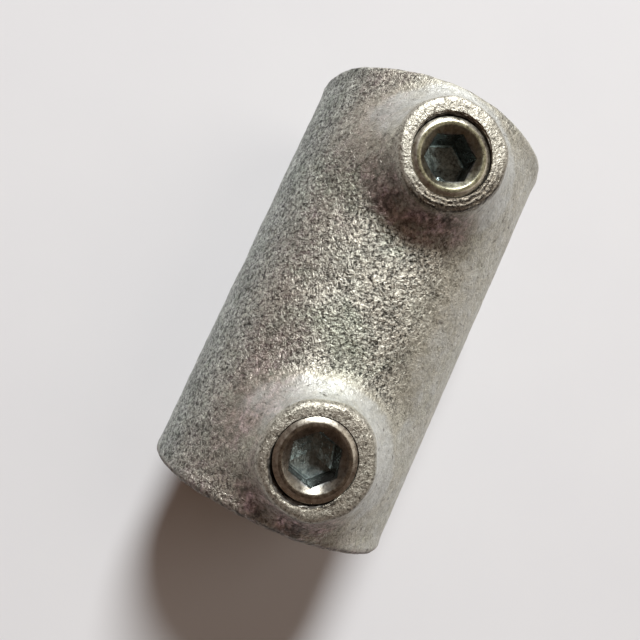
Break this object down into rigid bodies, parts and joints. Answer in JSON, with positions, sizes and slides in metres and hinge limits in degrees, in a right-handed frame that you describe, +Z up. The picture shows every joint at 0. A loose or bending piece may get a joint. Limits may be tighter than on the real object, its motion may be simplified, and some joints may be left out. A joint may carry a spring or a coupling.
{
  "type": "straight tube coupling",
  "caption": "Straight cast sleeve that joins two round tubes end to end, clamped by hex-socket set screws in line on raised bosses.",
  "frame": {"origin": "on the surface the sleeve lies on, straight below the middle of the bore", "axes": "+X along the bore, towards the right-hand tube socket; +Z up through the set screws; +Y across the barrel, along the stop pin"},
  "size_m": [0.1, 0.059, 0.0667],
  "materials": {
    "galvanised_casting": "hot-dip galvanised, rough cast, dull grey with pale highlights",
    "screw_steel": "plated steel, satin, dulled brown-grey",
    "pin_steel": "bright steel rod, lightly dulled"
  },
  "bodies": {
    "sleeve": {"body_casting": "galvanised_casting", "centre_stop_pin": "pin_steel"},
    "left_screw": {"left_set_screw": "screw_steel"},
    "right_screw": {"right_set_screw": "screw_steel"}
  },
  "joints": [
    {"name": "left_screw_feed", "type": "slide", "parent": "sleeve", "child": "left_screw", "axis": [0, 0, 1], "range_m": [-0.006, 0.005]},
    {"name": "right_screw_feed", "type": "slide", "parent": "sleeve", "child": "right_screw", "axis": [0, 0, 1], "range_m": [-0.006, 0.005]}
  ]
}
